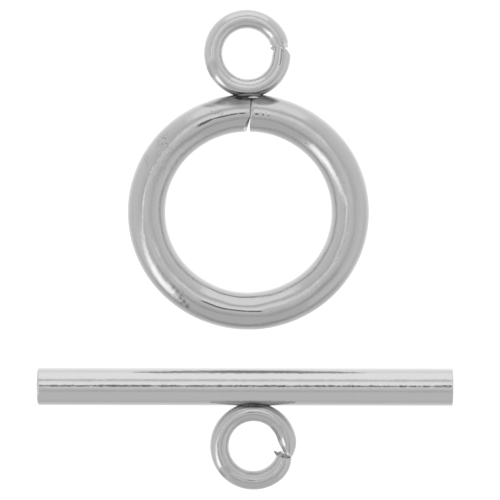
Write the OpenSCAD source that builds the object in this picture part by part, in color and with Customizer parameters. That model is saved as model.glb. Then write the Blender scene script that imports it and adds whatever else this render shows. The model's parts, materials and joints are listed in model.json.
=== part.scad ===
// Toggle clasp of polished steel wire, lying flat as two loose halves.
// One half is a round wire ring with an eye on its top, the other a straight bar with an eye at its middle.
// The ring lies above the bar in Y, Z points up from the surface that both rest on.
// Lengths are in millimetres and angles in degrees.

/* [Toggle ring] */
// Outer width of the ring
ring_w = 12.1; // [10:0.1:15]
// Outer height of the ring, from its foot to its eye
ring_h = 11.8; // [10:0.1:15]
// Thickness of the ring's round wire
ring_wire_d = 1.9; // [1.4:0.1:2.4]
// Turn of the ring's eye from straight up, to the left
ring_eye_turn = 0.4; // [-5:0.1:5]
// Depth that the eye is fused into the ring
ring_fuse_depth = 0.16; // [0.1:0.01:0.3]

/* [Seam of the ring] */
// Sideways place of the seam at the inside of the ring
ring_seam_x = 0.06; // [-0.4:0.01:0.4]
// Slant of the seam to the right on its way up
ring_seam_slant = 3.7; // [-10:0.1:10]
// Width of the seam at the inside of the ring
ring_seam_mouth = 0.13; // [0.06:0.01:0.3]
// Width of the seam at its closed end
ring_seam_end = 0.03; // [0.02:0.01:0.1]
// Metal between the seam's closed end and the ring's top
ring_seam_land = 0.25; // [0.2:0.01:0.6]

/* [Toggle bar] */
// Length of the bar
bar_l = 20.8; // [16:0.1:26]
// Thickness of the bar
bar_d = 1.9; // [1.4:0.1:2.4]
// Rounding of the bar's end edges
bar_end_round = 0.15; // [0.05:0.01:0.4]
// Place of the bar's eye, to the right of the bar's middle
bar_eye_shift = 0.44; // [-2:0.01:2]
// Depth that the eye is fused into the bar
bar_fuse_depth = 0.12; // [0.08:0.01:0.3]

/* [Eyes] */
// Outer diameter of each eye
eye_d = 4.35; // [3.6:0.05:6]
// Thickness of the eyes' round wire
eye_wire_d = 0.95; // [0.7:0.05:1.1]
// Thickness of the solder neck under each eye
neck_d = 0.85; // [0.5:0.05:0.9]
// Angle of the seam in the ring's eye, from the right-hand side
ring_eye_seam_at = 11.5; // [-60:0.5:60]
// Slant of the seam in the ring's eye
ring_eye_seam_slant = -20; // [-30:1:30]
// Angle of the seam in the bar's eye, from the right-hand side
bar_eye_seam_at = -12.5; // [-60:0.5:60]
// Slant of the seam in the bar's eye
bar_eye_seam_slant = -14; // [-30:1:30]
// Width of an eye's seam at the inner and outer edge of the wire
eye_seam_mouth = 0.22; // [0.05:0.01:0.4]
// Width of an eye's seam at the middle of the wire
eye_seam_waist = 0.03; // [0.02:0.01:0.05]

/* [Layout] */
// Clear gap between the ring and the bar
lay_gap = 1.88; // [0.5:0.01:6]
// Place of the ring's middle, to the right of the bar's middle
lay_shift = 0.18; // [-2:0.01:2]
// Turn of the bar half about its middle, to the left as seen from above
bar_turn = -0.1; // [-5:0.1:5]

/* [Hidden] */
$fn = 72;
steel = [0.74, 0.74, 0.745];
// How far a cutter runs past what it cuts
overcut = 0.3;

// Centrelines of the wires
ring_half_w = (ring_w - ring_wire_d) / 2;
ring_half_h = (ring_h - ring_wire_d) / 2;
eye_r = (eye_d - eye_wire_d) / 2;

// Distance from the ring's middle, or from the bar's axis, to the middle of the eye
ring_eye_dist = ring_h / 2 + eye_d / 2 - ring_fuse_depth;
bar_eye_dist = bar_d / 2 + eye_d / 2 - bar_fuse_depth;

// The bar rolls on the surface until the far side of its thinner eye touches down
far_wire_dist = bar_eye_dist + eye_r;
droop = asin((bar_d - eye_wire_d) / 2 / far_wire_dist);

// The layout is centred on the origin in X and Y
bar_axis_y = -(ring_h / 2 + lay_gap + bar_d / 2);
top_y = ring_eye_dist * cos(ring_eye_turn) + eye_d / 2;
bottom_y = bar_axis_y - far_wire_dist * cos(droop) - eye_wire_d / 2;
mid_y = (top_y + bottom_y) / 2;
left_x = min(-ring_w / 2, -lay_shift - bar_l / 2);
right_x = max(ring_w / 2, -lay_shift + bar_l / 2);
mid_x = (left_x + right_x) / 2;

// A stretch of round wire bent to an arc about Z
module wire_arc(wire_d, r, from, span) {
    rotate([0, 0, from]) rotate_extrude(angle = span) translate([r, 0]) circle(d = wire_d);
}

// The ring is an oval of four arcs that meet in line at its diagonals
module ring_wire() {
    centre_off = (ring_half_w - ring_half_h) / (2 - sqrt(2));
    for (side = [0, 1]) {
        rotate([0, 0, 180 * side]) {
            translate([centre_off, 0, 0]) wire_arc(ring_wire_d, ring_half_w - centre_off, -45, 90);
            translate([0, -centre_off, 0]) wire_arc(ring_wire_d, ring_half_h + centre_off, 45, 90);
        }
    }
}

// The gap where the ends of the ring's wire meet, narrowing from the inside of the ring to its top
module ring_seam() {
    depth = ring_wire_d - ring_seam_land;
    translate([ring_seam_x, ring_h / 2 - ring_wire_d, 0])
        rotate([0, 0, -ring_seam_slant])
        linear_extrude(height = ring_wire_d + 2 * overcut, center = true)
        polygon([
            [-ring_seam_mouth / 2, -overcut],
            [ring_seam_mouth / 2, -overcut],
            [ring_seam_mouth / 2, 0],
            [ring_seam_end / 2, depth],
            [-ring_seam_end / 2, depth],
            [-ring_seam_mouth / 2, 0]
        ]);
}

// A full turn of wire, without its seam
module eye_wire() {
    rotate_extrude() translate([eye_r, 0]) circle(d = eye_wire_d);
}

// The gap where the ends of an eye's wire meet, open at both edges and nearly closed at the middle
module eye_seam(seam_at, slant) {
    reach = eye_wire_d / 2 + overcut;
    flare = eye_seam_waist / 2 + (eye_seam_mouth - eye_seam_waist) * reach / eye_wire_d;
    rotate([0, 0, seam_at])
        translate([eye_r, 0, 0])
        rotate([0, 0, slant])
        linear_extrude(height = eye_wire_d + 2 * overcut, center = true)
        polygon([
            [-reach, -flare],
            [0, -eye_seam_waist / 2],
            [reach, -flare],
            [reach, flare],
            [0, eye_seam_waist / 2],
            [-reach, flare]
        ]);
}

// The solder that fills the groove under an eye, along Y between two wires' middles
module solder_neck(from_y, to_y) {
    translate([0, from_y, 0]) rotate([-90, 0, 0]) cylinder(d = neck_d, h = to_y - from_y);
}

// A straight rod along X with rounded end edges
module bar_rod() {
    r = bar_d / 2;
    half_l = bar_l / 2;
    rotate([0, 90, 0]) rotate_extrude() {
        translate([0, bar_end_round - half_l]) square([r, bar_l - 2 * bar_end_round]);
        translate([0, -half_l]) square([r - bar_end_round, bar_l]);
        for (end = [-1, 1]) {
            translate([r - bar_end_round, end * (half_l - bar_end_round)]) circle(r = bar_end_round);
        }
    }
}

// The ring half: ring, eye and solder are one piece of metal
module toggle_ring() {
    color(steel) translate([-mid_x, -mid_y, ring_wire_d / 2]) difference() {
        union() {
            ring_wire();
            rotate([0, 0, ring_eye_turn]) {
                translate([0, ring_eye_dist, 0]) eye_wire();
                solder_neck(ring_half_h, ring_eye_dist - eye_r);
            }
        }
        ring_seam();
        rotate([0, 0, ring_eye_turn]) translate([0, ring_eye_dist, 0])
            eye_seam(ring_eye_seam_at, ring_eye_seam_slant);
    }
}

// The bar half: bar, eye and solder are one piece of metal
module toggle_bar() {
    color(steel)
        translate([-lay_shift - mid_x, bar_axis_y - mid_y, bar_d / 2])
        rotate([0, 0, bar_turn])
        rotate([droop, 0, 0])
        difference() {
            union() {
                bar_rod();
                translate([bar_eye_shift, 0, 0]) {
                    translate([0, -bar_eye_dist, 0]) eye_wire();
                    solder_neck(eye_r - bar_eye_dist, 0);
                }
            }
            translate([bar_eye_shift, -bar_eye_dist, 0])
                eye_seam(bar_eye_seam_at, bar_eye_seam_slant);
        }
}

toggle_ring();
toggle_bar();
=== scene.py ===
import json
from math import atan2, cos, hypot, pi, radians, sin, sqrt

import bmesh
import bpy
from mathutils import Matrix, Vector


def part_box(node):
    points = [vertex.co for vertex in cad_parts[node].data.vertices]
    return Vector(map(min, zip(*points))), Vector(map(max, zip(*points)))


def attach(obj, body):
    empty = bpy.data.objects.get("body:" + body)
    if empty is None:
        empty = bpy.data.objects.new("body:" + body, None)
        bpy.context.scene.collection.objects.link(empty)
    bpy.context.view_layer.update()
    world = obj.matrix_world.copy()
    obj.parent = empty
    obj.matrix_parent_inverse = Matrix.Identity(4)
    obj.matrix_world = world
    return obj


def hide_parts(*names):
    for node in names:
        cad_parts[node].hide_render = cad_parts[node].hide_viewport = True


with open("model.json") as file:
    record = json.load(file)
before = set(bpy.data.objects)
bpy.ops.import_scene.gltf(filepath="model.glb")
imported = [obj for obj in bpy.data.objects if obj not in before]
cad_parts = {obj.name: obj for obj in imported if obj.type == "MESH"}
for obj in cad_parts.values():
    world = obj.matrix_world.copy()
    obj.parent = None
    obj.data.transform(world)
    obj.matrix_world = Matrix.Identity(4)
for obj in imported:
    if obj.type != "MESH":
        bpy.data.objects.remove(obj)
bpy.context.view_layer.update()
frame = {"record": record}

# Toggle clasp of polished steel wire: a ring half and a bar half that lie loose on a pale surface
mm = 0.001  # meshes are shaped in millimetres and brought to metres at the end
up = Vector((0, 0, 1))
quarter = radians(90)


# What the frame says about the two halves, in millimetres
def nodeBox(node):
    low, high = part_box(node)
    return low / mm, high / mm


def mountPlace(name):
    mount = next(row for row in frame["record"]["mounts"] if row["name"] == name)
    return Vector(mount["pos_m"]) / mm, Vector(mount["axis"])


ringLow, ringHigh = nodeBox("toggle_ring")
barLow, barHigh = nodeBox("toggle_bar")
ringEyeCentre, ringEyeAxis = mountPlace("ring_eye")
barEyeCentre, barEyeAxis = mountPlace("bar_eye")
wireD = ringHigh.z - ringLow.z
barD = barHigh.z - barLow.z
eyeOuterR = ringHigh.y - ringEyeCentre.y


# Shader maths as plain expressions
class Wire:
    def __init__(self, graph, socket):
        self.graph = graph
        self.socket = socket

    def maths(self, operation, *values):
        return self.graph.add("ShaderNodeMath", {"operation": operation}, dict(enumerate(values)))

    def __add__(self, other):
        return self.maths("ADD", self, other)

    def __radd__(self, other):
        return self.maths("ADD", other, self)

    def __sub__(self, other):
        return self.maths("SUBTRACT", self, other)

    def __rsub__(self, other):
        return self.maths("SUBTRACT", other, self)

    def __mul__(self, other):
        return self.maths("MULTIPLY", self, other)

    def __rmul__(self, other):
        return self.maths("MULTIPLY", other, self)

    def __truediv__(self, other):
        return self.maths("DIVIDE", self, other)

    def __rtruediv__(self, other):
        return self.maths("DIVIDE", other, self)

    def __pow__(self, other):
        return self.maths("POWER", self, other)

    def __abs__(self):
        return self.maths("ABSOLUTE", self)


class Graph:
    def __init__(self, tree):
        self.tree = tree
        tree.nodes.clear()

    def add(self, kind, settings=None, inputs=None, output=0):
        node = self.tree.nodes.new(kind)
        for name, value in (settings or {}).items():
            setattr(node, name, value)
        for name, value in (inputs or {}).items():
            if isinstance(value, Wire):
                self.tree.links.new(value.socket, node.inputs[name])
            else:
                node.inputs[name].default_value = value
        return Wire(self, node.outputs[output]) if len(node.outputs) else node

    def ramp(self, value, low, high):
        # 0 below low, 1 above high, smooth between; low above high turns it round
        return self.add(
            "ShaderNodeMapRange",
            {"interpolation_type": "SMOOTHSTEP"},
            {"Value": value, "From Min": low, "From Max": high},
        )

    def parts(self, vector):
        node = self.add("ShaderNodeSeparateXYZ", None, {0: vector}).socket.node
        return [Wire(self, out) for out in node.outputs]


# Camera: straight above, long lens, framed as the photograph is
cameraSet = {
    "midX": 0.26,  # mm, middle of the picture
    "midY": -0.007,
    "viewWide": 25.0,  # mm across the picture at the wires' middle height
    "lens": 300.0,
    "sensor": 36.0,
    "clip": (0.01, 10),  # metres, nearest and farthest that it sees
}


def makeCamera():
    data = bpy.data.cameras.new("camera")
    data.lens = cameraSet["lens"]
    data.sensor_width = cameraSet["sensor"]
    distance = cameraSet["viewWide"] * data.lens / data.sensor_width
    data.clip_start, data.clip_end = cameraSet["clip"]
    camera = bpy.data.objects.new("camera", data)
    camera.location = Vector((cameraSet["midX"], cameraSet["midY"], distance + wireD / 2)) * mm
    bpy.context.collection.objects.link(camera)
    bpy.context.scene.camera = camera
    bpy.context.scene.view_settings.view_transform = "Standard"
    print("camera made")


# Soft box of pale cloth round the clasp. Places are in the plane of sin(half the angle from straight up),
# so 0 is straight up and 0.707 the horizon; brightness 1 is paper white. A pair of places is where a form
# starts to show and where it shows in full.
tent = {
    "wall": 0.89,
    "wallFoot": 0.96,  # brightness of the walls at their foot
    "footReach": (0.45, 0.58),
    "footSouth": (0.5, 0.3),
    "roof": 0.97,
    "roofReach": (0.27, 0.12),
    "roofNorth": 0.27,  # bright patch in the roof: glow, place, half sizes and edge
    "roofNorthAt": 0.14,
    "roofNorthHalf": (0.2, 0.14),
    "roofNorthEdge": (1.0, 0.1),
    "sides": 0.9,  # share of the light that is left at the roof's sides
    "sidesEast": (0.05, 0.14),
    "sidesReach": (0.32, 0.24),
    "roofSouth": 0.74,  # brightness of the roof towards the front
    "southFrom": (0.0, 0.26),
    "southReach": (0.45, 0.33),
    "southSides": (0.3, 0.0),
    "rim": 0.9,  # share of the light that is left where the roof meets the walls
    "rimAt": 0.3,
    "rimEdge": (0.07, 0.01),
    "back": 1.25,
    "backNorth": (0.35, 0.385),
    "backLean": 0.62,
    "backSides": (-0.012, 0.02),
    "front": 0.765,
    "frontSouth": (0.26, 0.36),
    "frontLeft": (0.067, 0.54),  # place and slope of the wedge's left side
    "frontLeftEdge": (-0.01, 0.01),
    "frontRight": (0.057, 0.5),
    "frontRightEdge": (-0.015, 0.015),
    "seam": 0.82,  # share of the light that is left in the seam along the wedge's left side
    "seamEdge": (0.016, 0.004),
    "seamSouth": (0.24, 0.32),
    "lampGlow": 1.0,
    "lampEast": -0.395,
    "lampNorth": -0.285,
    "lampTall": 1.7,
    "lampLean": 0.25,  # its north end lies nearer to the middle by this slope
    "lampEdge": (0.17, 0.04),
    "strapGlow": 0.8,
    "strapRun": (0.627, 0.779),  # it runs this much west and this much south
    "strapAside": 0.172,
    "strapEdge": (0.038, 0.006),
    "strapStart": (0.0, 0.1),
    "strapStop": (0.34, 0.24),
    "lensDark": 0.22,
    "lensSize": 0.046,
    "lensEdge": (1.15, 0.8),
    "below": 0.93,
    "belowTilt": 0.2,  # lighter by this towards the north, darker towards the south
    "belowRise": 0.25,
    "belowReach": (0.8, 0.97),
    "horizon": (0.7, 0.715),
}


def dimmed(light, mask, share):
    # The light, down to a share of it where the mask is 1
    return light * (1 - (1 - share) * mask)


def covered(light, mask, value):
    # The light, with another value in its place where the mask is 1
    return light * (1 - mask) + value * mask


def makeTent():
    world = bpy.data.worlds.new("tent")
    world.use_nodes = True
    bpy.context.scene.world = world
    g = Graph(world.node_tree)
    t = tent
    x, y, z = g.parts(g.add("ShaderNodeTexCoord", output="Generated"))
    spread = 1 / ((z + 1.0001) * 2) ** 0.5  # a little over 1, so that straight down stays finite
    east = x * spread
    north = y * spread
    south = 0 - north
    reach = (east * east + north * north) ** 0.5

    # Walls, a little brighter at their foot, under a brighter roof
    foot = (t["wallFoot"] - t["wall"]) * g.ramp(reach, *t["footReach"]) * g.ramp(south, *t["footSouth"])
    light = covered(t["wall"] + foot, g.ramp(reach, *t["roofReach"]), t["roof"])
    halfEast, halfNorth = t["roofNorthHalf"]
    patch = ((north - t["roofNorthAt"]) / halfNorth) ** 2 + (east / halfEast) ** 2
    light = light + t["roofNorth"] * g.ramp(patch, *t["roofNorthEdge"])
    sides = g.ramp(abs(east), *t["sidesEast"]) * g.ramp(reach, *t["sidesReach"])
    light = dimmed(light, sides, t["sides"])
    shade = g.ramp(south, *t["southFrom"]) * g.ramp(reach, *t["southReach"])
    shade = shade * g.ramp(abs(east) - south, *t["southSides"])
    light = dimmed(light, shade, t["roofSouth"] / t["roof"])
    light = dimmed(light, g.ramp(abs(reach - t["rimAt"]), *t["rimEdge"]), t["rim"])

    # Back panel and front wedge
    back = g.ramp(north, *t["backNorth"]) * g.ramp(north * t["backLean"] - abs(east), *t["backSides"])
    light = covered(light, back, t["back"])
    leftAt, leftSlope = t["frontLeft"]
    rightAt, rightSlope = t["frontRight"]
    leftEdge = east + leftAt + south * leftSlope
    rightEdge = rightAt + south * rightSlope - east
    front = g.ramp(south, *t["frontSouth"]) * g.ramp(leftEdge, *t["frontLeftEdge"])
    front = front * g.ramp(rightEdge, *t["frontRightEdge"])

    # Lamp behind the cloth, and the bright strap that leads up from it
    lampTop = north - t["lampNorth"]
    lampSide = east - t["lampEast"] - lampTop * t["lampLean"]
    away = (lampSide ** 2 + (lampTop / t["lampTall"]) ** 2) ** 0.5
    light = light + t["lampGlow"] * g.ramp(away, *t["lampEdge"])
    runWest, runSouth = t["strapRun"]
    along = 0 - east * runWest - north * runSouth
    across = east * runSouth - north * runWest + t["strapAside"]
    strap = g.ramp(abs(across), *t["strapEdge"]) * g.ramp(along, *t["strapStart"])
    strap = strap * g.ramp(along, *t["strapStop"])
    light = covered(light + t["strapGlow"] * strap, front, t["front"])
    seam = g.ramp(abs(leftEdge), *t["seamEdge"]) * g.ramp(south, *t["seamSouth"])
    light = dimmed(light, seam, t["seam"])

    # Light table under it all, brighter towards the back and close by
    table = t["below"] + t["belowTilt"] * north / reach + t["belowRise"] * g.ramp(reach, *t["belowReach"])
    light = covered(light, g.ramp(reach, *t["horizon"]), table)

    # The camera's lens, seen in the cloth right overhead
    light = covered(light, g.ramp(reach / t["lensSize"], *t["lensEdge"]), t["lensDark"])

    background = g.add("ShaderNodeBackground", None, {"Color": (1, 1, 1, 1), "Strength": light})
    g.add("ShaderNodeOutputWorld", None, {"Surface": background})
    print("tent made")


floorSet = {
    "radius": 3.0,  # metres
    "sides": 64,
    "under": 0.00001,  # metres that it lies below the steel
    "white": 0.1,
    "glow": 1.0,
}


def makeFloor():
    bm = bmesh.new()
    bmesh.ops.create_circle(bm, cap_ends=True, radius=floorSet["radius"], segments=floorSet["sides"])
    mesh = bpy.data.meshes.new("floor")
    bm.to_mesh(mesh)
    bm.free()
    floor = bpy.data.objects.new("floor", mesh)
    floor.location.z = -floorSet["under"]
    floor.visible_glossy = False  # the steel mirrors the light table that the tent gives below the horizon
    bpy.context.collection.objects.link(floor)
    material = bpy.data.materials.new("paleFloor")
    material.use_nodes = True
    g = Graph(material.node_tree)
    shader = g.add("ShaderNodeBsdfPrincipled", None, {
        "Base Color": (floorSet["white"], floorSet["white"], floorSet["white"], 1),
        "Roughness": 1.0,
        "Specular IOR Level": 0.0,
        "Emission Color": (1, 1, 1, 1),
        "Emission Strength": floorSet["glow"],
    })
    g.add("ShaderNodeOutputMaterial", None, {"Surface": shader})
    mesh.materials.append(material)
    print("floor made")


# Steel: polished wire with faint drawn lines, grain and rubs. Its marks are oxide tint that also carries
# painted shade by the joints and in gaps, rough patches that also carry painted shade, and fresh-cut metal
# that also carries painted light. A noise is its scale, detail, roughness and stretch. A mark is its
# middle and half sizes in millimetres, its strength, and the share of its size inside which it is full.
steelLook = {
    "patchNoise": (700.0, 2.0, 0.55),
    "drawnNoise": (30.0, 3.0, 0.6, (0.02, 1, 1)),
    "grainNoise": (9000.0, 2.0, 0.5),
    "fineNoise": (7.0, 2.0, 0.5, (0.7, 1, 1)),
    "waveNoise": (1.1, 1.0, 0.4, (0.6, 1, 1)),
    "streakNoise": (6.0, 3.0, 0.55, (0.3, 1, 1)),
    "pitNoise": (12000.0, 1.0, 0.5),
    "toneShift": 0.03,
    "rubbedLevel": (0.45, 0.75),  # level of the patches where smooth metal turns to rubbed
    "crestEdge": (0.11, 0.06),  # radians off the crest where its rubbed line starts, and is full
    "flankEdge": (0.6, 0.76),
    "sharpGloss": 0.45,  # share of the roughness that a sharp stretch loses
    "sharpFine": 0.7,  # share of the fine relief that it loses
    "coarseFine": 3,  # how much more of it a coarse stretch has
    "heatAndShadeRough": 0.2,
    "heatAndShadeStreaks": 0.7,
    "dullRough": 0.4,
    # painted shade: the share by which the rough patches darken the colour
    "dullShade": 0.1,
    "fineDepth": 0.006,  # depths are in millimetres
    "drawnDepth": 0.0006,
    "grainDepth": 0.0004,
    "waveDepth": 0.05,
    "pitDepth": 0.006,
    # lighter colour of fresh-cut metal, also used as painted light in shaded spots
    "bareAndLitTone": 0.72,
    "blue": 1.005,  # blue against red and green
}


def makeSteel(name, look):
    material = bpy.data.materials.new(name)
    material.use_nodes = True
    g = Graph(material.node_tree)
    s = steelLook
    place = g.add("ShaderNodeTexCoord", output="Object")
    along = g.add("ShaderNodeUVMap", {"uv_map": "wireCoords"})
    around = abs(g.parts(along)[1] / look["radius"])

    def noise(where, scale, detail, rough, stretch=(1, 1, 1)):
        mapped = g.add("ShaderNodeMapping", None, {"Vector": where, "Scale": stretch})
        return g.add("ShaderNodeTexNoise", None, {
            "Vector": mapped, "Scale": scale, "Detail": detail, "Roughness": rough,
        })

    def mark(middle, half, strength, inner=0.2):
        size = Vector(half) * mm
        near = g.add("ShaderNodeMapping", None, {
            "Vector": place,
            "Location": [-a * mm / b for a, b in zip(middle, size)],
            "Scale": [1 / b for b in size],
        })
        away = g.add("ShaderNodeVectorMath", {"operation": "LENGTH"}, {0: near}, "Value")
        return g.ramp(away, 1.0, inner) * strength

    def allMarks(key):
        # The strongest of the marks at each place, or 0 where the look has none
        total = None
        for row in look.get(key, []):
            one = mark(*row)
            total = one if total is None else total.maths("MAXIMUM", total, one)
        return 0.0 if total is None else total

    patches = noise(place, *s["patchNoise"])
    drawn = noise(along, *s["drawnNoise"])
    grain = noise(place, *s["grainNoise"])
    fine = noise(along, *s["fineNoise"])
    wave = noise(along, *s["waveNoise"])
    streaks = noise(along, *s["streakNoise"])
    sharp = allMarks("sharp")
    coarse = allMarks("coarse")
    bareAndLit = allMarks("bareAndLit")
    dullAndShaded = allMarks("dullAndShaded")
    # oxide tint and painted shade, left out where the fresh-cut marks are
    heatAndShade = allMarks("heatAndShade") * (1 + (streaks - 0.5) * s["heatAndShadeStreaks"]) * (1 - bareAndLit)

    offCrest = abs(around - pi / 2)
    crest = g.ramp(offCrest, *s["crestEdge"]) * (1 - sharp)
    rough = look["smooth"] + (look["rubbed"] - look["smooth"]) * g.ramp(patches, *s["rubbedLevel"])
    rough = (rough + (look["crestRough"] - rough) * crest) * (1 - sharp * s["sharpGloss"])
    rough = rough + look["flankRough"] * g.ramp(offCrest, *s["flankEdge"])
    rough = rough + heatAndShade * s["heatAndShadeRough"] + dullAndShaded * s["dullRough"]

    tone = look["tone"] * (1 + (patches - 0.5) * s["toneShift"])
    tone = tone * (1 + crest * look["crestTone"])
    # fresh-cut marks lighten the colour: fresh metal and painted light; tint marks darken it: oxide tint
    # and painted shade; rough patches darken it a little: painted shade
    tone = tone + (s["bareAndLitTone"] - tone) * bareAndLit
    tone = tone * (1 - heatAndShade) * (1 - dullAndShaded * s["dullShade"])
    height = drawn * s["drawnDepth"]
    height = height + wave * s["waveDepth"] * look["wave"]
    height = height + fine * s["fineDepth"] * (1 + coarse * s["coarseFine"] - sharp * s["sharpFine"])
    height = height + grain * s["grainDepth"]
    if "pits" in look:
        speck = g.ramp(noise(place, *s["pitNoise"]), *look["pitLevel"])
        pit = speck * allMarks("pits")
        height = height - pit * s["pitDepth"]
        tone = tone * (1 - pit * look["pitTone"])
    colour = g.add("ShaderNodeCombineColor", None, {"Red": tone, "Green": tone, "Blue": tone * s["blue"]})
    bump = g.add("ShaderNodeBump", None, {"Height": height, "Strength": 1.0, "Distance": mm})
    shader = g.add("ShaderNodeBsdfPrincipled", None, {
        "Base Color": colour, "Metallic": 1.0, "Roughness": rough, "Normal": bump,
    })
    g.add("ShaderNodeOutputMaterial", None, {"Surface": shader})
    print(name, "made")
    return material


# Shaping helpers. A wire is a loop of edges swept round arcs about Z, in millimetres. Its faces are
# marked with the end that they belong to: firstEnd, lastEnd or neither.
firstEnd, lastEnd, between = 1, 2, 3
cutDist = 0.00001  # what lies nearer to a cut than this is in it
smoothUpTo = 40  # degrees between two faces that still shade as one


def startLoop(bm, radius, segments, place, turn):
    made = bmesh.ops.create_circle(bm, cap_ends=False, radius=radius, segments=segments)
    verts = made["verts"]
    stand = Matrix.Rotation(turn, 3, "Z") @ Matrix.Rotation(quarter, 3, "X")
    bmesh.ops.rotate(bm, verts=verts, cent=(0, 0, 0), matrix=stand)
    bmesh.ops.translate(bm, verts=verts, vec=place)
    bm.faces.layers.int.new("end")
    return bm.edges[:]


def sweep(bm, loop, centre, turn, steps, end=between):
    verts = list(dict.fromkeys(vert for edge in loop for vert in edge.verts))
    old = set(bm.faces)
    made = bmesh.ops.spin(
        bm, geom=loop + verts, cent=centre, axis=up, angle=turn, steps=steps, use_duplicate=False,
    )
    layer = bm.faces.layers.int["end"]
    for face in bm.faces:
        if face not in old:
            face[layer] = end
    return [item for item in made["geom_last"] if isinstance(item, bmesh.types.BMEdge)]


def stepsFor(turn, degreesEach):
    return max(1, round(turn / radians(degreesEach)))


def endFaces(bm, end):
    layer = bm.faces.layers.int["end"]
    return [face for face in bm.faces if face[layer] == end]


def endVerts(bm, end):
    return {vert for face in endFaces(bm, end) for vert in face.verts}


def endGeom(bm, end):
    faces = endFaces(bm, end)
    geom = dict.fromkeys(faces)
    for face in faces:
        geom.update(dict.fromkeys(face.edges))
        geom.update(dict.fromkeys(face.verts))
    return list(geom)


def cutPlane(fromX, fromY, toX, toY, facing, tilt):
    # Plane through a line drawn as seen from above, facing one way and leaning back by tilt degrees
    point = Vector((fromX, fromY, 0))
    run = Vector((toX, toY, 0)) - point
    normal = Vector((-run.y, run.x, 0)).normalized()
    if normal.dot(facing) < 0:
        normal.negate()
    return point, normal * cos(radians(tilt)) + up * sin(radians(tilt))


def trim(bm, end, point, normal):
    # Cuts one end of the wire off beyond the plane and closes the cut
    cut = bmesh.ops.bisect_plane(
        bm, geom=endGeom(bm, end), dist=cutDist, plane_co=point, plane_no=normal, clear_outer=True,
    )
    rim = [item for item in cut["geom_cut"] if isinstance(item, bmesh.types.BMEdge) and item.is_boundary]
    layer = bm.faces.layers.int["end"]
    for face in bmesh.ops.edgeloop_fill(bm, edges=rim)["faces"]:
        face[layer] = end


def squeeze(bm, end, wire, backOf, length, inner, outer, flat):
    # Draws an end's inner and outer side together, and flattens it, ever more towards its tip
    centre, bendR, wireR = wire
    for vert in endVerts(bm, end):
        back = backOf(vert.co)
        if back < length:
            weight = (1 - max(back, 0) / length) ** 2
            out = Vector((vert.co.x, vert.co.y, 0)) - centre
            side = (out.length - bendR) / wireR
            shift = inner * (1 - side) / 2 - outer * (1 + side) / 2
            vert.co += out.normalized() * shift * weight
            vert.co.z *= 1 - flat * weight


def behind(point, normal):
    # How far a place lies back from a plane
    return lambda p: (point - p).dot(normal)


def pull(verts, spot, reach, shift):
    # Draws the metal near spot along, full at spot and nothing at reach
    for vert in verts:
        gap = (vert.co - spot).length
        if gap < reach:
            vert.co += shift * (1 - (gap / reach) ** 2) ** 2


def addWireCoords(bm, alongOf, aroundOf, length, girth):
    # UV in millimetres, along the wire and round its section. Where one runs round and starts again after
    # its length or girth, each face is kept whole over the jump.
    layer = bm.loops.layers.uv.new("wireCoords")
    for face in bm.faces:
        middle = face.calc_center_median()
        ref = (alongOf(middle), aroundOf(middle))
        for loop in face.loops:
            pair = [alongOf(loop.vert.co), aroundOf(loop.vert.co)]
            for axis, period in enumerate((length, girth)):
                if period:
                    pair[axis] -= period * round((pair[axis] - ref[axis]) / period)
            loop[layer].uv = pair


def addRingCoords(bm, bendR, wireR, sideOf=None):
    sideOf = sideOf or (lambda p: hypot(p.x, p.y) - bendR)
    addWireCoords(
        bm,
        lambda p: atan2(p.y, p.x) * bendR,
        lambda p: atan2(p.z, sideOf(p)) * wireR,
        2 * pi * bendR,
        2 * pi * wireR,
    )


def finishPiece(bm, name, node, material, place):
    bmesh.ops.transform(bm, matrix=place, verts=bm.verts)
    bmesh.ops.scale(bm, vec=(mm, mm, mm), verts=bm.verts)
    bmesh.ops.recalc_face_normals(bm, faces=bm.faces)
    mesh = bpy.data.meshes.new(name)
    bm.to_mesh(mesh)
    bm.free()
    mesh.shade_smooth()
    mesh.set_sharp_from_angle(angle=radians(smoothUpTo))
    mesh.materials.append(material)
    piece = bpy.data.objects.new(name, mesh)
    bpy.context.collection.objects.link(piece)
    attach(piece, "root")
    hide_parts(node)
    print(name, "made,", len(mesh.polygons), "faces")


# Toggle ring: an oval of four arcs, cut at the seam under the eye. Places are from the ring's middle.
ringWire = {
    "fuse": 0.16,  # depth of the eye in the ring
    "thin": 0.0125,  # the wire's radius is this much under half the ring's thickness
    "lean": -0.03,  # the wire is out of round by this share of its radius: its crest lies towards the bar
    "around": 96,  # sides of the wire's section
    "coarse": 1.5,  # degrees a step
    "endTurn": 9.0,  # degrees at each end that are swept finely
    "endSteps": 54,
    "spare": 2.5,  # degrees swept past the seam, then cut off
    "seam": (0.145, 5.67, 0.07, 4.0),  # line of the seam, from its top to its foot
    "seamTilt": 1.5,  # degrees, so that the closed seam shows no light
    "seamGap": 0.008,
    "gap": (0.10, 4.80, -0.10, 4.0),  # where the left end leans away from the right one
    "nick": (0.005, 4.67, 0.907),  # the cutter's nick on the left end
    "nickFacing": (0.797, -0.559, 0.226),
    "edge": (0.04, 0.02),  # rounding of the ends' edges: length and depth
    "shoulder": (0.26, 0.05),  # the right end falls off towards the seam
    "sag": (1.3, 0.02),  # the wire sits a little lower at its seam: reach and depth
}


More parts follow.
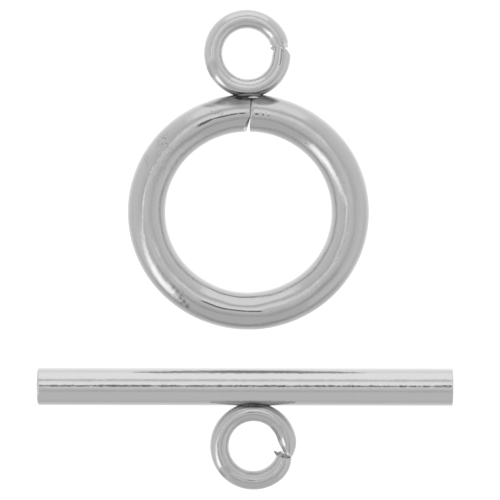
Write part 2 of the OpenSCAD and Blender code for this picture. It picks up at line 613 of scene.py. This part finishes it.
def makeRing(material):
    s = ringWire
    r = wireD / 2 - s["thin"]
    tall = ringEyeCentre.y - ringLow.y - eyeOuterR + s["fuse"]
    halfW = (ringHigh.x - ringLow.x - wireD) / 2
    halfH = (tall - wireD) / 2
    offset = (halfW - halfH) / (2 - sqrt(2))  # from the ring's middle to those of the four quarter arcs
    flatR = halfH + offset
    sideR = halfW - offset
    topCentre = Vector((0, -offset, 0))
    seamX = (s["seam"][0] + s["seam"][2]) / 2
    seamAt = atan2(halfH + offset, seamX)
    begin = seamAt - radians(s["spare"])
    fine = radians(s["endTurn"])

    bm = bmesh.new()
    place = topCentre + Matrix.Rotation(begin, 3, "Z") @ Vector((flatR, 0, 0))
    loop = startLoop(bm, r, s["around"], place, begin)
    loop = sweep(bm, loop, topCentre, fine, s["endSteps"], firstEnd)
    rest = quarter * 1.5 - begin - fine
    loop = sweep(bm, loop, topCentre, rest, stepsFor(rest, s["coarse"]))
    for centre in (Vector((-offset, 0, 0)), Vector((0, offset, 0)), Vector((offset, 0, 0))):
        loop = sweep(bm, loop, centre, quarter, stepsFor(quarter, s["coarse"]))
    rest = seamAt + radians(s["spare"]) - quarter * 0.5 - fine
    loop = sweep(bm, loop, topCentre, rest, stepsFor(rest, s["coarse"]))
    sweep(bm, loop, topCentre, fine, s["endSteps"], lastEnd)

    # The first end goes off to the left of the seam, the last one to the right
    right = Vector((1, 0, 0))
    point, normal = cutPlane(*s["seam"], right, s["seamTilt"])
    slit = normal * s["seamGap"] / 2
    wire = (topCentre, flatR, r)
    trim(bm, firstEnd, point - slit, normal)
    trim(bm, lastEnd, point + slit, -normal)
    trim(bm, firstEnd, *cutPlane(*s["gap"], right, 0))
    trim(bm, firstEnd, Vector(s["nick"]), Vector(s["nickFacing"]))
    length, depth = s["edge"]
    leftBack = behind(point - slit, normal)
    rightBack = behind(point + slit, -normal)
    squeeze(bm, firstEnd, wire, leftBack, length, depth, depth, depth / r)
    squeeze(bm, lastEnd, wire, rightBack, length, depth, depth, depth / r)
    length, depth = s["shoulder"]
    squeeze(bm, lastEnd, wire, rightBack, length, 0, depth, depth / r)
    reach, depth = s["sag"]
    pull(bm.verts, Vector((seamX, halfH, 0)), reach, Vector((0, -depth, 0)))

    def sideOf(p):
        # How far outside the oval's centreline a point is
        if abs(p.x) - abs(p.y) > offset:
            return hypot(abs(p.x) - offset, p.y) - sideR
        return hypot(p.x, abs(p.y) + offset) - flatR

    addRingCoords(bm, sideR, r, sideOf)
    middle = Vector(((ringLow.x + ringHigh.x) / 2, ringLow.y + tall / 2, r))
    spot = Matrix.Translation(middle) @ Matrix.Shear("XY", 4, (0, s["lean"]))
    finishPiece(bm, "ring_wire", "toggle_ring", material, spot)


# Eyes: a turn of thinner wire each. Cuts are lines as seen from above, from the eye's middle, with the
# degrees that the cut face leans back. The first end is above the seam, the last one below it. A taper is
# its length, how far the inside and the outside go in, and how much flatter the wire gets.
eyeWire = {
    "radius": 0.464,
    "bend": 1.719,
    "around": 64,
    "coarse": 3.0,  # degrees a step
    "endTurn": 60.0,  # degrees at each end that are swept finely
    "endSteps": 132,
    "spare": 14.0,  # degrees swept past the seam, then cut off
    "edge": (0.04, 0.015),  # rounding of the ends' edges: length and depth
}
ringEye = {
    "oval": (112.0, 0.0115),  # direction of the longer way across, and the share that it is longer
    "seamAt": 10.0,  # degrees from the right-hand side
    "firstTaper": (0.6, 0.0, 0.08, 0.0),
    "firstCuts": [
        (1.31, 0.385, 2.06, 0.32, -3),
        (1.14, 0.475, 1.31, 0.385, 0),
    ],
    "lastTaper": (0.45, 0.09, 0.0, 0.0),
    "lastCuts": [
        (1.31, 0.375, 2.06, 0.31, 3),
        (1.80, 0.36, 2.03, 0.20, 6),
        (2.03, 0.20, 2.16, -0.02, 6),
    ],
    "burr": ((1.30, 0.28, 0.05), 0.14, (-0.15, -0.02, 0.0)),  # place, reach and way that it is drawn
    "burrLines": (),  # where the cut is split, which keeps the burr's pull to its corner
}
barEye = {
    "oval": (90.0, 0.008),
    "seamAt": -16.0,
    "firstTaper": (0.9, 0.45, 0.19, 0.1),
    "firstCuts": [
        (1.266, -0.153, 1.811, -0.653, 20),
        (1.5, -0.60, 2.1, -0.58, 0),
    ],
    "lastTaper": (1.1, 0.0, 0.19, 0.0),
    "lastCuts": [
        (1.0, -0.33, 1.84, -0.49, 14),
    ],
    "burr": ((1.2, -0.36, 0.0), 0.17, (-0.18, 0.14, 0.0)),
    "burrLines": (1.25, 1.31, 1.4),
}


def makeEye(name, s, node, centre, axis, material):
    r = eyeWire["radius"]
    bendR = eyeWire["bend"]
    seamAt = radians(s["seamAt"])
    spare = radians(eyeWire["spare"])
    fine = radians(eyeWire["endTurn"])
    origin = Vector((0, 0, 0))
    begin = seamAt - spare
    bm = bmesh.new()
    place = Matrix.Rotation(begin, 3, "Z") @ Vector((bendR, 0, 0))
    loop = startLoop(bm, r, eyeWire["around"], place, begin)
    loop = sweep(bm, loop, origin, fine, eyeWire["endSteps"], firstEnd)
    rest = 2 * pi + 2 * spare - 2 * fine
    loop = sweep(bm, loop, origin, rest, stepsFor(rest, eyeWire["coarse"]))
    sweep(bm, loop, origin, fine, eyeWire["endSteps"], lastEnd)

    onward = Matrix.Rotation(seamAt, 3, "Z") @ Vector((0, 1, 0))
    wire = (origin, bendR, r)
    length, depth = eyeWire["edge"]
    for end, key, side in ((firstEnd, "first", 1), (lastEnd, "last", -1)):
        squeeze(bm, end, wire, lambda p: side * (atan2(p.y, p.x) - seamAt) * bendR, *s[key + "Taper"])
        planes = [cutPlane(*row[:4], -side * onward, row[4]) for row in s[key + "Cuts"]]
        for plane in planes:
            trim(bm, end, *plane)
        squeeze(bm, end, wire, behind(*planes[0]), length, depth, depth, depth / r)
    for x in s["burrLines"]:
        bmesh.ops.bisect_plane(bm, geom=endGeom(bm, lastEnd), plane_co=(x, 0, 0), plane_no=(1, 0, 0))
    spot, reach, shift = s["burr"]
    pull(endVerts(bm, lastEnd), Vector(spot), reach, Vector(shift))
    addRingCoords(bm, bendR, r)
    lean = up.rotation_difference(axis).to_matrix().to_4x4()
    angle, share = s["oval"]
    longWay = Vector((cos(radians(angle)), sin(radians(angle)), 0))
    oval = Matrix.Scale(1 + share, 4, longWay) @ Matrix.Scale(1 - share, 4, longWay.cross(up))
    finishPiece(bm, name, node, material, Matrix.Translation(centre) @ lean @ oval)


# Toggle bar: a straight rod, its left end rounded and a little domed, its right end cut square
barRod = {
    "turn": -0.1,  # degrees
    "around": 96,
    "leftRound": 0.1,
    "rightRound": 0.04,
    "rightShort": 0.015,  # its right end stays this far inside the box of the CAD bar
    "lean": 0.041,  # out of round: the crest lies towards the ring
    "roundSteps": 6,
    "loopBack": 0.03,  # from each rounding to the loop that keeps the long faces' shading straight
    "dome": [(0.2, 0.02), (0.3, 0.02)],  # insets of the left end: width and rise
}


def makeBar(material):
    s = barRod
    rightX = barHigh.x - s["rightShort"]
    length = rightX - barLow.x - sum(rise for width, rise in s["dome"])
    r = barD / 2
    bm = bmesh.new()
    bmesh.ops.create_cone(bm, cap_ends=True, segments=s["around"], radius1=r, radius2=r, depth=length)
    for side, size in ((-1, s["leftRound"]), (1, s["rightRound"])):
        rim = [edge for edge in bm.edges if all(side * vert.co.z > 0 for vert in edge.verts)]
        bmesh.ops.bevel(
            bm, geom=rim, offset=size, offset_type="OFFSET", segments=s["roundSteps"], profile=0.5,
            affect="EDGES", material=-1, clamp_overlap=True,
        )
    for side, size in ((-1, s["leftRound"]), (1, s["rightRound"])):
        spot = Vector((0, 0, side * (length / 2 - size - s["loopBack"])))
        whole = bm.verts[:] + bm.edges[:] + bm.faces[:]
        bmesh.ops.bisect_plane(bm, geom=whole, plane_co=spot, plane_no=up)
    for width, rise in s["dome"]:
        cap = min(bm.faces, key=lambda face: face.calc_center_median().z)
        bmesh.ops.inset_region(bm, faces=[cap], thickness=width, depth=rise, use_even_offset=True)
    bmesh.ops.rotate(bm, verts=bm.verts, cent=(0, 0, 0), matrix=Matrix.Rotation(quarter, 3, "Y"))
    addWireCoords(bm, lambda p: p.x, lambda p: atan2(p.z, p.y) * r, None, 2 * pi * r)
    turn = radians(s["turn"])
    middle = Vector((rightX - length / 2, barHigh.y - r - length / 2 * sin(abs(turn)), r))
    lean = Matrix.Shear("XY", 4, (0, s["lean"]))
    place = Matrix.Translation(middle) @ Matrix.Rotation(turn, 4, "Z") @ lean
    finishPiece(bm, "bar_rod", "toggle_bar", material, place)


# Solder: a collar round each joint, with drops of solder on it
solderShape = {
    "around": 32,  # sides of the collar's section
    "steps": 96,
    "dropSides": 32,
    "dropRings": 20,
}
ringSolder = {
    "middle": (0.20, 7.70, 0.94),
    "collar": (0.56, 0.33),  # half width and half height of its bend
    "thick": 0.12,
    "beads": [],  # where the collar is drawn up: place, reach and way
    "drops": [((0.23, -0.105, 0.50), (0.28, 0.085, 0.14))],  # drops of solder: middle and half sizes
}
barSolder = {
    "middle": (0.44, -7.71, 0.86),
    "collar": (0.60, 0.28),
    "thick": 0.11,
    "beads": [((0.0, 0.02, 0.33), 0.4, (0.0, 0.02, 0.06))],
    "drops": [((-0.28, -0.03, 0.3), (0.1, 0.05, 0.12)), ((0.24, -0.04, 0.28), (0.14, 0.05, 0.12))],
}


def makeSolder(name, s, node, material):
    shape = solderShape
    halfW, halfH = s["collar"]
    bm = bmesh.new()
    made = bmesh.ops.create_circle(bm, cap_ends=False, radius=s["thick"], segments=shape["around"])
    bmesh.ops.translate(bm, verts=made["verts"], vec=(halfW, 0, 0))
    bmesh.ops.spin(
        bm, geom=bm.edges[:] + bm.verts[:], cent=(0, 0, 0), axis=(0, 1, 0), angle=2 * pi,
        steps=shape["steps"], use_merge=True, use_duplicate=False,
    )
    bmesh.ops.scale(bm, vec=(1, 1, halfH / halfW), verts=bm.verts)
    for spot, reach, shift in s["beads"]:
        pull(bm.verts, Vector(spot), reach, Vector(shift))
    for spot, half in s["drops"]:
        made = bmesh.ops.create_uvsphere(
            bm, u_segments=shape["dropSides"], v_segments=shape["dropRings"], radius=1,
        )
        bmesh.ops.scale(bm, vec=half, verts=made["verts"])
        bmesh.ops.translate(bm, verts=made["verts"], vec=spot)
    addWireCoords(bm, lambda p: atan2(p.z, p.x) * halfW, lambda p: p.y, 2 * pi * halfW, None)
    finishPiece(bm, name, node, material, Matrix.Translation(Vector(s["middle"])))


# Finishes: crests are rubbed rough but for a few sharp stretches, and metal by the solder is darkened:
# oxide tint and painted shade
ringFinish = {
    "tone": 0.5,
    "smooth": 0.14,
    "rubbed": 0.2,
    "radius": wireD / 2 - ringWire["thin"],
    "crestRough": 0.36,
    "crestTone": 0.07,
    "flankRough": 0.09,
    "wave": 1.0,
    # oxide tint by the solder, with painted shade in the crease under the eye and on the ring's shoulder
    "heatAndShade": [
        ((0.2, 7.60, 1.3), (1.05, 0.55, 1.2), 0.88),  # round the joint: oxide tint and painted shade
        ((-0.1, 7.62, 1.2), (2.1, 0.6, 1.6), 0.5),
        ((-0.3, 7.36, 1.6), (1.3, 0.36, 1.2), 0.62),
        ((0.35, 7.45, 1.6), (0.4, 0.3, 1.2), 0.6),
        ((0.95, 7.42, 1.6), (0.85, 0.28, 1.2), 0.62, 0.5),
        # painted shade: the eye's contact shadow on the ring
        ((-0.24, 7.57, 1.3), (0.55, 0.2, 1.2), 0.92, 0.3),
        ((-1.14, 7.3, 1.5), (0.85, 0.17, 1.0), 0.5, 0.3),
        ((-1.72, 7.19, 1.5), (0.6, 0.14, 1.0), 0.36, 0.3),
        ((-3.56, -1.86, 1.6), (0.16, 0.2, 1.0), 0.3),  # painted shade: a dark line beside the end of the long highlight
        ((-3.38, -2.1, 1.6), (0.16, 0.2, 1.0), 0.35),
        ((-3.2, -2.34, 1.6), (0.17, 0.2, 1.0), 0.4),
        ((-3.02, -2.57, 1.6), (0.17, 0.2, 1.0), 0.5),
        ((-2.86, -2.79, 1.6), (0.17, 0.2, 1.0), 0.5),
    ],
    "sharp": [
        ((-1.36, 6.64, 1.9), (1.25, 1.6, 3.0), 1.0, 0.7),  # left of the seam
        ((-0.70, -3.0, 1.9), (1.68, 1.6, 3.0), 1.0, 0.85),  # at the ring's foot
        ((-0.16, 6.84, 1.9), (0.3, 0.6, 1.0), 0.9),  # glints along the crest beside the seam
        ((0.6, 6.8, 1.9), (0.16, 0.6, 1.0), 1.0),
        ((0.93, 6.8, 1.9), (0.1, 0.6, 1.0), 0.9),
        ((1.2, 6.8, 1.9), (0.1, 0.6, 1.0), 0.9),
    ],
    "coarse": [((-4.2, 4.6, 1.6), (1.6, 2.2, 2.0), 1.0)],
    "pits": [
        ((-4.07, 5.42, 1.6), (0.6, 0.8, 1.0), 0.8),
        ((-4.89, 4.44, 1.4), (0.3, 0.6, 1.0), 0.6),
        ((-1.4, 6.84, 1.9), (0.55, 0.2, 1.0), 0.9),
        ((3.0, 5.33, 1.5), (0.3, 0.2, 1.0), 0.9),
        ((-3.15, -2.4, 1.6), (0.5, 0.6, 1.0), 1.0),
    ],
    "pitLevel": (0.53, 0.62),
    "pitTone": 0.45,
}
ringEyeFinish = {
    "tone": 0.55,
    "smooth": 0.14,
    "rubbed": 0.2,
    "radius": eyeWire["radius"],
    "crestRough": 0.36,
    "crestTone": 0.1,
    "flankRough": 0.12,
    "wave": 1.0,
    # rough patches that blunt the lamp's highlight, darkened a little with painted shade
    "dullAndShaded": [
        ((-1.6, 9.05, 1.2), (0.4, 0.65, 1.0), 1.0, 0.5),
        ((1.5, 10.4, 1.2), (0.3, 0.38, 1.0), 1.0, 0.5),
    ],
    # oxide tint and painted shade on the eye's underside by the joint
    "heatAndShade": [
        ((0.2, 7.60, 1.0), (1.0, 0.38, 1.2), 0.36),
        ((0.2, 7.72, 1.25), (0.95, 0.10, 0.6), 0.75),
    ],
    "sharp": [((1.85, 9.9, 1.4), (0.55, 1.0, 1.0), 1.0, 0.7)],
    # lighter fresh-cut metal, also painted light on the drop of solder and at the cut
    "bareAndLit": [
        ((2.03, 10.25, 1.2), (0.18, 0.18, 0.4), 1.0),  # the cut's corner
        ((0.46, 7.59, 1.5), (0.3, 0.09, 0.3), 0.5),  # the drop of solder: painted highlight
        ((1.33, 10.42, 1.1), (0.24, 0.34, 1.0), 0.8, 0.4),
    ],
    "pits": [((1.88, 10.05, 1.4), (0.08, 0.8, 0.4), 1.0)],
    "pitLevel": (0.55, 0.62),
    "pitTone": 0.7,
}
# oxide tint by the bar's solder, with painted shade along the joint
barHeatAndShade = [((0.44, -7.72, 1.0), (0.95, 0.32, 1.2), 0.7)]
barEyeFinish = {
    "tone": 0.52,
    "smooth": 0.14,
    "rubbed": 0.2,
    "radius": eyeWire["radius"],
    "crestRough": 0.36,
    "crestTone": 0.08,
    "flankRough": 0.25,
    "wave": 1.0,
    # oxide tint and painted shade by the joint; the second mark is painted shade in the gap of the seam
    "heatAndShade": barHeatAndShade + [((1.68, -10.14, 0.8), (0.38, 0.18, 0.8), 0.5, 0.5)],
    # painted light in the shaded gap of the seam
    "bareAndLit": [((2.05, -10.23, 0.8), (0.3, 0.2, 0.8), 1.0, 0.5)],
    # rough patches that blunt the lamp's highlight, darkened a little with painted shade
    "dullAndShaded": [
        ((1.6, -9.13, 1.0), (0.45, 0.55, 1.0), 1.0, 0.6),
        ((0.43, -11.3, 1.0), (1.3, 0.3, 1.0), 0.6),
        ((1.98, -10.0, 1.0), (0.22, 0.26, 1.0), 1.0, 0.5),
        ((-1.0, -11.1, 1.0), (0.4, 0.42, 1.0), 1.0, 0.5),
    ],
    "sharp": [((0.33, -8.1, 1.2), (0.34, 0.3, 1.0), 0.9), ((0.26, -11.53, 1.0), (0.3, 0.3, 1.0), 0.9)],
}
barFinish = {
    "tone": 0.578,
    "smooth": 0.1,
    "rubbed": 0.14,
    "radius": barD / 2,
    "crestRough": 0.1,
    "crestTone": 0.0,
    "flankRough": 0.0,
    "wave": 0.12,
    "heatAndShade": barHeatAndShade,
}

makeCamera()
makeTent()
makeFloor()
ringSteel = makeSteel("ringSteel", ringFinish)
ringEyeSteel = makeSteel("ringEyeSteel", ringEyeFinish)
barEyeSteel = makeSteel("barEyeSteel", barEyeFinish)
barSteel = makeSteel("barSteel", barFinish)
makeRing(ringSteel)
makeEye("ring_eye", ringEye, "toggle_ring", ringEyeCentre, ringEyeAxis, ringEyeSteel)
makeSolder("ring_solder", ringSolder, "toggle_ring", ringEyeSteel)
makeBar(barSteel)
makeEye("bar_eye", barEye, "toggle_bar", barEyeCentre, barEyeAxis, barEyeSteel)
makeSolder("bar_solder", barSolder, "toggle_bar", barEyeSteel)
